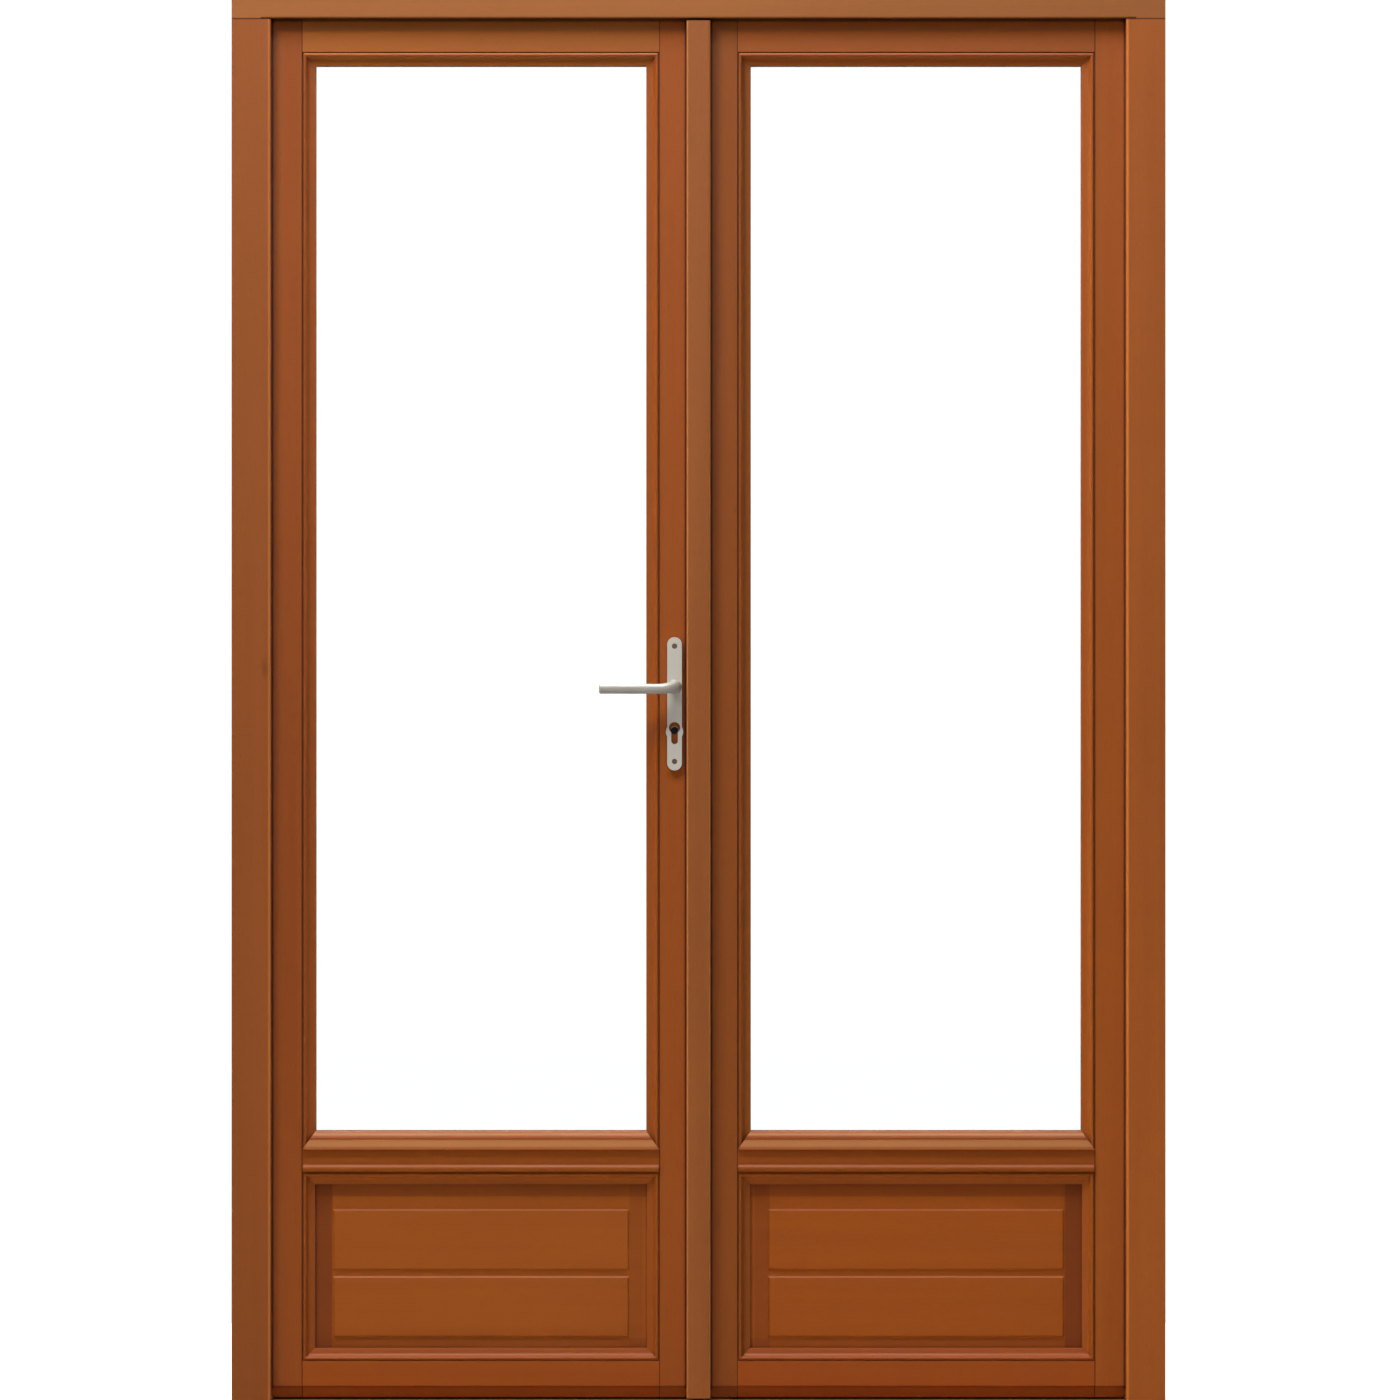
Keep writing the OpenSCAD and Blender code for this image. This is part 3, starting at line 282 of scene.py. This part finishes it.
def rubber(name, srgb, seed=0.0):
    """Dull rubber or plastic with fine grain and a little dust."""
    t = Tree(name)
    grain = t.noise(t.coords(RUBBER_GRAIN, (seed, 0, 0)), 1.0, 3.0)
    dust = t.noise(t.coords(RUBBER_DUST, (seed, 1, 0)), 1.0, 3.0)
    c = linear(srgb)
    grey = tuple(min(1, x * 1.8 + 0.006) for x in c[:3]) + (1,)
    return t.shader({
        "Base Color": t.mix(t.span(dust, 0.45, 0.8, 0.0, 0.6), c, grey),
        "Roughness": t.span(grain, 0.3, 0.7, 0.6, 0.8),
        "Normal": t.bump(grain, 0.00005, 0.4),
    })


def clear_glass(name):
    """Clear pane that lets lamps through, so that what is behind it is lit."""
    t = Tree(name)
    pane = t.node("BsdfGlass", {"Color": (0.985, 0.995, 0.99, 1), "Roughness": 0.0, "IOR": 1.5})
    through = t.node("BsdfTransparent", {"Color": (0.96, 0.975, 0.97, 1)})
    shadow_ray = t.node("LightPath").outputs["Is Shadow Ray"]
    m = t.node("MixShader", {0: shadow_ray, 1: pane.outputs[0], 2: through.outputs[0]})
    t.nt.links.new(m.outputs[0], t.out.inputs["Surface"])
    return t.mat


# ---- materials of the imported pieces ----------------------------------------

# Joint lines and lines of painted shade: axis, place, half width, shaded by a neighbour.
HEAD_SEAM = (Z, 2.0908, 0.0016, False)      # under the head, over the jambs
HINGE_SEAM = (X, 0.595, 0.0010, False)      # hinge stile to rails
MEETING_SEAM = (X, 0.0585, 0.0008, False)   # meeting stile to rails
HEAD_SHADE_LINE = (Z, 2.0892, 0.0040, True)       # painted shade at the top of a leaf, where it goes in behind the head
JAMB_SHADE_LINE = (X, 0.6395, 0.0028, True)       # painted shade at the edge of a leaf, where it goes in behind a jamb
ASTRAGAL_SHADE_LINE = (X, 0.0192, 0.0026, True)   # painted shade beside the outer astragal

# The arrises of a jamb carry a painted highlight.
JAMB = {"joint_and_shade_lines": [HEAD_SEAM], "arrises": [(X, 0.641, 0.646)]}
LEFT_JAMB = {**JAMB, "knots": [(-0.650, 1.117, 0.007)]}
HINGE_STILE = {"joint_and_shade_lines": [HINGE_SEAM, HEAD_SHADE_LINE, JAMB_SHADE_LINE]}
MEETING_STILE = {"joint_and_shade_lines": [MEETING_SEAM, HEAD_SHADE_LINE, ASTRAGAL_SHADE_LINE]}
TOP_RAIL = {"joint_and_shade_lines": [HINGE_SEAM, MEETING_SEAM, HEAD_SHADE_LINE]}
BOTTOM_RAIL = {"joint_and_shade_lines": [HINGE_SEAM, MEETING_SEAM]}
# Painted highlight on the slope under a pane and on its upper edge.
MIDDLE_RAIL = {**BOTTOM_RAIL, "slope_highlights": [(0.3978, 0.4085), (0.4148, 0.4190)]}
# Painted shade in a panel's sunk margins beside the hinge stile, at the top and at the bottom.
SUNK_MARGIN_SHADE = [(X, 0.5495, 0.5775, 0.78), (Z, 0.3225, 0.3520, 0.5), (Z, 0.0960, 0.1110, 0.3)]
LEFT_PANEL = {"shaded_bands": [*SUNK_MARGIN_SHADE, (X, 0.0835, 0.1045, 0.28)]}
RIGHT_PANEL = {"shaded_bands": [*SUNK_MARGIN_SHADE, (X, 0.0835, 0.1075, 0.45)]}
# The arrises of the outer astragal carry a painted highlight.
ASTRAGAL = {"arrises": [(X, 0.0155, 0.018)]}

# Node: grain axis, seed, stain in sRGB, marks.
WOODS = {
    "frame_head": (X, 1, (165, 98, 44), {"joint_and_shade_lines": [HEAD_SEAM]}),
    "frame_jamb_left": (Z, 2, (152, 80, 28), LEFT_JAMB),
    "frame_jamb_right": (Z, 3, (172, 89, 27), JAMB),
    "left_hinge_stile": (Z, 4, (153, 75, 17), HINGE_STILE),
    "left_meeting_stile": (Z, 5, (161, 79, 17), MEETING_STILE),
    "left_top_rail": (X, 6, (168, 91, 27), TOP_RAIL),
    "left_middle_rail": (X, 7, (160, 79, 12), MIDDLE_RAIL),
    "left_bottom_rail": (X, 8, (165, 78, 9), BOTTOM_RAIL),
    "left_panel": (X, 9, (167, 84, 15), LEFT_PANEL),
    "left_glazing_beads": (Z, 10, (158, 80, 14), {}),
    "inner_astragal": (Z, 11, (158, 88, 33), {}),
    "right_hinge_stile": (Z, 12, (168, 84, 17), HINGE_STILE),
    # Its stain is darker than the left meeting stile's, in part painted shade from the outer
    # astragal beside it.
    "right_meeting_stile": (Z, 13, (148, 75, 17), MEETING_STILE),
    "right_top_rail": (X, 14, (160, 80, 19), TOP_RAIL),
    "right_middle_rail": (X, 15, (160, 78, 12), MIDDLE_RAIL),
    "right_bottom_rail": (X, 16, (166, 77, 9), BOTTOM_RAIL),
    "right_panel": (X, 17, (167, 81, 9), RIGHT_PANEL),
    "right_glazing_beads": (Z, 18, (154, 78, 13), {}),
    "outer_astragal": (Z, 19, (160, 90, 39), ASTRAGAL),
}

made = {}
for name, (grain, seed, srgb, marks) in WOODS.items():
    made[name] = wood("wood_" + name, grain, seed, srgb, **marks)

alu = satin_metal("alu_satin", (208, 204, 196), 0.50, Z, 1.0, 0.25)
alu_lever = satin_metal("alu_lever", (170, 167, 160), 0.56, X, 2.0, 0.2)
hinge_steel = satin_metal("hinge_steel", (204, 200, 192), 0.38, Z, 3.0, 0.45)
bolt_steel = satin_metal("bolt_steel", (196, 195, 190), 0.36, Z, 4.0, 0.5)
screw_steel = satin_metal("screw_steel", (128, 98, 86), 0.40, X, 5.0, 0.6)
threshold_alu = satin_metal("threshold_alu", (172, 100, 44), 0.46, X, 6.0, 0.25)
spacer_alu = satin_metal("spacer_alu", (176, 176, 176), 0.38, Z, 7.0)
black_rubber = rubber("black_rubber", (30, 29, 28))
key_hole_shade_rubber = rubber("key_hole_shade_rubber", (16, 9, 7), 5.0)
packer = rubber("packer_plastic", (44, 44, 44), 3.0)
glass = clear_glass("clear_glass")

GROUPS = {
    alu: ("handle_plate_outer", "handle_plate_inner"),
    alu_lever: ("lever_outer", "lever_inner"),
    hinge_steel: ("frame_hinge_halves_left", "frame_hinge_halves_right", "left_hinge_halves",
                  "right_hinge_halves", "hinge_pins_left", "hinge_pins_right"),
    bolt_steel: ("lock_case", "lock_faceplate", "spindle", "lock_follower", "latch_bolt",
                 "dead_bolt", "strike_plate", "flush_plate_top", "flush_plate_bottom",
                 "flush_bolt_top", "flush_bolt_bottom", "head_keep"),
    screw_steel: ("handle_screws", "lock_screws", "edge_screws", "keep_screws"),
    threshold_alu: ("threshold", "threshold_keep"),
    spacer_alu: ("left_glass_spacer", "right_glass_spacer"),
    black_rubber: ("frame_seals", "inner_astragal_seal", "outer_astragal_seal"),
    packer: ("left_glass_packers", "right_glass_packers"),
    glass: ("left_pane_outer", "left_pane_inner", "right_pane_outer", "right_pane_inner"),
}
for material, names in GROUPS.items():
    for name in names:
        made[name] = material

for name, o in nodes.items():
    o.data.materials.clear()
    o.data.materials.append(made[name])

# ---- rounded edges ---------------------------------------------------------

WELD_DISTANCE = 1e-6
EDGE_ROUND = 0.0008
EDGE_ROUNDS = {"frame_head": 0.0016, "frame_jamb_left": 0.0012, "frame_jamb_right": 0.0012,
               "outer_astragal": 0.0006, "inner_astragal": 0.0006}
SHARP_ANGLE = math.radians(34)
for name in WOODS:
    o = nodes[name]
    weld = o.modifiers.new("weld", "WELD")
    weld.merge_threshold = WELD_DISTANCE
    bevel = o.modifiers.new("bevel", "BEVEL")
    bevel.width = EDGE_ROUNDS.get(name, EDGE_ROUND)
    bevel.segments = 2
    bevel.limit_method = "ANGLE"
    bevel.angle_limit = SHARP_ANGLE
    bevel.harden_normals = False
    normals = o.modifiers.new("normals", "WEIGHTED_NORMAL")
    normals.keep_sharp = False

# ---- smooth levers -----------------------------------------------------------


def mesh_piece(name, verts, faces, material, body, smooth=True):
    me = bpy.data.meshes.new(name)
    me.from_pydata(verts, [], faces)
    me.validate()
    if smooth:
        me.polygons.foreach_set("use_smooth", [True] * len(me.polygons))
    me.materials.append(material)
    o = bpy.data.objects.new(name, me)
    scene.collection.objects.link(o)
    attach(o, body)
    return o


def smooth_step(t):
    t = max(0.0, min(1.0, t))
    return t * t * (3 - 2 * t)


HANDLE_X, HANDLE_Z = -0.036, 1.0895  # the spindle's axis
NECK_R = 0.0090
COLLAR_FLARE, COLLAR_LENGTH = 0.0016, 0.005
BEND_R = 0.020
GRIP_Z, GRIP_HALF_Z, GRIP_HALF_Y = 1.0860, 0.0075, 0.0070
FLATTEN_FROM, FLATTEN_LENGTH = 0.006, 0.036  # path lengths over which the neck becomes the grip
LEVER_TIP_X, TIP_ROUND = -0.149, 0.0026
SEGMENTS, NECK_RINGS, BEND_RINGS, GRIP_RINGS, TIP_RINGS = 40, 6, 14, 25, 5


def lever(name, node, plate_y, grip_y):
    """A lever that flows from a round neck at the plate into a slightly flattened grip."""
    out = 1 if grip_y > plate_y else -1
    neck = abs(grip_y - plate_y) - BEND_R
    path = []  # (x, y, tangent angle)
    for i in range(NECK_RINGS + 1):
        path.append((HANDLE_X, plate_y + out * neck * i / NECK_RINGS, 0.0))
    for i in range(1, BEND_RINGS + 1):
        a = math.pi / 2 * i / BEND_RINGS
        path.append((HANDLE_X - BEND_R * (1 - math.cos(a)),
                     plate_y + out * (neck + BEND_R * math.sin(a)), a))
    grip_from = HANDLE_X - BEND_R
    grip_to = LEVER_TIP_X + TIP_ROUND
    for i in range(1, GRIP_RINGS + 1):
        path.append((grip_from + (grip_to - grip_from) * i / GRIP_RINGS, grip_y, math.pi / 2))
    length = [0.0]
    for p, q in zip(path, path[1:]):
        length.append(length[-1] + math.dist(p[:2], q[:2]))
    verts, rings = [], []

    def ring(x, y, a, half_z, half_w, cz, power):
        """A superellipse of vertices across the path; power 2 is round, more is squarer."""
        rings.append(len(verts))
        for k in range(SEGMENTS):
            u = 2 * math.pi * k / SEGMENTS
            c, w = math.cos(u), math.sin(u)
            dw = half_w * math.copysign(abs(c) ** (2 / power), c)
            dz = half_z * math.copysign(abs(w) ** (2 / power), w)
            verts.append((x + dw * math.cos(a), y + out * dw * math.sin(a), cz + dz))

    for (x, y, a), s in zip(path, length):
        k = smooth_step((s - FLATTEN_FROM) / FLATTEN_LENGTH)
        collar = COLLAR_FLARE * (1 - smooth_step(s / COLLAR_LENGTH))
        half_z = NECK_R + (GRIP_HALF_Z - NECK_R) * k + collar
        half_w = NECK_R + (GRIP_HALF_Y - NECK_R) * k + collar
        ring(x, y, a, half_z, half_w, HANDLE_Z + (GRIP_Z - HANDLE_Z) * k, 2.0 + 0.6 * k)
    for i in range(1, TIP_RINGS + 1):
        a = math.pi / 2 * i / TIP_RINGS
        shrink = TIP_ROUND * (1 - math.cos(a))
        ring(grip_to - TIP_ROUND * math.sin(a), grip_y, math.pi / 2, GRIP_HALF_Z - shrink,
             GRIP_HALF_Y - shrink, GRIP_Z, 2.6)
    faces = []
    for first, nxt in zip(rings, rings[1:]):
        for k in range(SEGMENTS):
            m = (k + 1) % SEGMENTS
            quad = (first + k, first + m, nxt + m, nxt + k)
            faces.append(quad if out > 0 else quad[::-1])
    start = list(range(SEGMENTS))
    end = [rings[-1] + k for k in range(SEGMENTS)]
    faces.append(start[::-1] if out > 0 else start)
    faces.append(end if out > 0 else end[::-1])
    o = mesh_piece(name, verts, faces, alu_lever, "handle")
    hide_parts(node)


lever("lever_outer_smooth", "lever_outer", -0.0252, -0.052)
lever("lever_inner_smooth", "lever_inner", 0.0432, 0.070)

# ---- small rubber pieces -----------------------------------------------------

# A finned gasket on top of the inner astragal closes the last of the meeting gap under the head.
PAD_X, PAD_Y, PAD_Z = 0.0165, (0.0372, 0.0466), 2.0878
PAD_BASE, FIN_HEIGHT, FINS = 0.0024, 0.0060, 4
FIN_TOP_FROM, FIN_TOP_TO, FIN_FOOT = 0.22, 0.62, 0.86  # in parts of a fin's pitch
foot = PAD_Z + PAD_BASE
pitch = (PAD_Y[1] - PAD_Y[0]) / FINS
profile = [(PAD_Y[0], PAD_Z)]
for i in range(FINS):
    y = PAD_Y[0] + pitch * i
    profile += [(y, foot), (y + FIN_TOP_FROM * pitch, foot + FIN_HEIGHT),
                (y + FIN_TOP_TO * pitch, foot + FIN_HEIGHT), (y + FIN_FOOT * pitch, foot)]
profile += [(PAD_Y[1], foot), (PAD_Y[1], PAD_Z)]
n = len(profile)
verts = [(x, y, z) for x in (-PAD_X, PAD_X) for y, z in profile]
faces = [[n + k for k in range(n)][::-1], list(range(n))]
faces += [(k, n + k, n + (k + 1) % n, (k + 1) % n) for k in range(n)]
mesh_piece("meeting_gasket_top", verts, faces, black_rubber, "left_leaf",
           smooth=False)

# Two overlapping very dark rubber flaps fill the key hole: a dark piece that stands in for the
# shade inside it.
KEY_X, KEY_Z, KEY_R = -0.036, 1.0235, 0.0059
FLAP_Y, FLAP_OFFSET, FLAP_T, FLAP_LAP, FLAP_ARC = -0.0125, 0.0007, 0.0006, 0.0007, 16
for side, name in ((-1, "key_flap_left"), (1, "key_flap_right")):
    y0 = FLAP_Y + FLAP_OFFSET * side
    arc = [math.pi / 2 + side * -math.pi * i / FLAP_ARC for i in range(FLAP_ARC + 1)]
    outline = [(KEY_X + KEY_R * math.cos(a), KEY_Z + KEY_R * math.sin(a)) for a in arc]
    lap = FLAP_LAP * -side
    outline += [(KEY_X + lap, KEY_Z - KEY_R * 0.98), (KEY_X + lap, KEY_Z + KEY_R * 0.98)]
    n = len(outline)
    verts = [(x, y, z) for y in (y0, y0 + FLAP_T) for x, z in outline]
    front, back = list(range(n)), list(range(n, 2 * n))
    faces = [front, back[::-1]] if side < 0 else [front[::-1], back]
    for k in range(n):
        m = (k + 1) % n
        quad = (k, n + k, n + m, m)
        faces.append(quad if side < 0 else quad[::-1])
    mesh_piece(name, verts, faces, key_hole_shade_rubber, "left_leaf", smooth=False)

# ---- floor, world, light and camera ------------------------------------------

FLOOR_X, FLOOR_Y = 14.0, (-14.0, 2.0)
FLOOR_DROP = 0.0006  # below the threshold, so that the two faces never meet
FLOOR_GLOW = 0.88    # keeps the floor pale where it is seen, and lights nothing
SKY_SEEN, SKY_LIT = 1.12, 0.09


def floor_piece(name, x, y, z, material):
    me = bpy.data.meshes.new(name)
    corners = [(-x, y[0], z), (x, y[0], z), (x, y[1], z), (-x, y[1], z)]
    me.from_pydata(corners, [], [(0, 1, 2, 3)])
    o = bpy.data.objects.new(name, me)
    scene.collection.objects.link(o)
    me.materials.append(material)


t = Tree("studio_floor")
floor_noise = t.noise(t.coords((3.0, 3.0, 3.0)), 1.0, 3.0)
floor_path = t.node("LightPath").outputs
floor_seen = t.math("MAXIMUM", floor_path["Is Camera Ray"], floor_path["Is Transmission Ray"])
floor_mat = t.shader({
    "Base Color": t.ramp(floor_noise, [(0.3, (0.60, 0.595, 0.585)), (0.7, (0.63, 0.625, 0.615))]),
    "Roughness": 0.65,
    "Emission Color": (1, 1, 1, 1),
    "Emission Strength": t.math("MULTIPLY", floor_seen, FLOOR_GLOW),
})
floor_piece("floor", FLOOR_X, FLOOR_Y, cad_box[0].z - FLOOR_DROP, floor_mat)

world = bpy.data.worlds.new("studio")
scene.world = world
world.use_nodes = True
wt = world.node_tree
wt.nodes.clear()
w_out = wt.nodes.new("ShaderNodeOutputWorld")
w_path = wt.nodes.new("ShaderNodeLightPath")
w_seen = wt.nodes.new("ShaderNodeBackground")
w_lit = wt.nodes.new("ShaderNodeBackground")
w_mix = wt.nodes.new("ShaderNodeMixShader")
w_max = wt.nodes.new("ShaderNodeMath")
w_max.operation = "MAXIMUM"
w_seen.inputs["Color"].default_value = (1, 1, 1, 1)
w_seen.inputs["Strength"].default_value = SKY_SEEN
w_lit.inputs["Color"].default_value = (1.0, 0.985, 0.96, 1)
w_lit.inputs["Strength"].default_value = SKY_LIT
wt.links.new(w_path.outputs["Is Camera Ray"], w_max.inputs[0])
wt.links.new(w_path.outputs["Is Transmission Ray"], w_max.inputs[1])
wt.links.new(w_max.outputs[0], w_mix.inputs[0])
wt.links.new(w_lit.outputs[0], w_mix.inputs[1])
wt.links.new(w_seen.outputs[0], w_mix.inputs[2])
wt.links.new(w_mix.outputs[0], w_out.inputs["Surface"])


def area_light(name, at, aim, size, power, colour, skips):
    """A soft lamp; skips is the kind of ray, glossy or diffuse, on which it has no effect."""
    data = bpy.data.lights.new(name, "AREA")
    data.shape = "RECTANGLE"
    data.size, data.size_y = size
    data.energy = power
    data.color = colour
    o = bpy.data.objects.new(name, data)
    o.location = at
    o.rotation_mode = "QUATERNION"
    o.rotation_quaternion = (Vector(aim) - Vector(at)).to_track_quat("-Z", "Y")
    o.visible_camera = False
    o.visible_transmission = False
    o.visible_glossy = skips != "glossy"
    o.visible_diffuse = skips != "diffuse"
    scene.collection.objects.link(o)


# Name, place, aim, size, watts, colour, rays skipped.
LIGHTS = [
    ("key", (-2.2, -2.3, 4.8), (0, 0, 1.0), (1.2, 0.4), 114, (1.0, 0.985, 0.95), "glossy"),
    ("front_fill", (0.6, -6.0, 1.8), (0, 0, 1.2), (4.0, 3.0), 18, (1.0, 0.97, 0.93), "glossy"),
    ("overhead", (-0.4, -1.6, 5.5), (0, 0, 0.4), (3.0, 1.2), 130, (1.0, 0.98, 0.94), None),
    ("sheen", (-1.0, -3.0, 4.2), (0, 0, 1.6), (2.4, 0.9), 90, (1.0, 0.98, 0.95), "diffuse"),
    ("slope_sheen", (-0.4, -1.6, 4.9), (0, 0, 0.4), (2.6, 0.9), 480, (1.0, 0.98, 0.95), "diffuse"),
    ("back_fill", (0.8, 3.6, 3.4), (0, 0, 1.0), (2.6, 1.2), 95, (1.0, 0.99, 0.97), None),
]
for settings in LIGHTS:
    area_light(*settings)

PICTURE_PIXELS, MM_PER_PIXEL = 1400, 1.499
SEEN = PICTURE_PIXELS * MM_PER_PIXEL / 1000  # metres across the picture at the frame's front
DISTANCE = 14.0
FRAME_FRONT_Y = -0.036
SENSOR = 36.0
camera = bpy.data.cameras.new("camera")
camera.sensor_width = SENSOR
camera.lens = SENSOR * DISTANCE / SEEN
camera.clip_start, camera.clip_end = 0.5, 100.0
cam = bpy.data.objects.new("camera", camera)
cam.location = (0.0022, FRAME_FRONT_Y - DISTANCE, 1.0692)
cam.rotation_euler = (math.radians(90), 0, 0)
scene.collection.objects.link(cam)
scene.camera = cam
scene.view_settings.view_transform = "Standard"

bpy.context.view_layer.update()
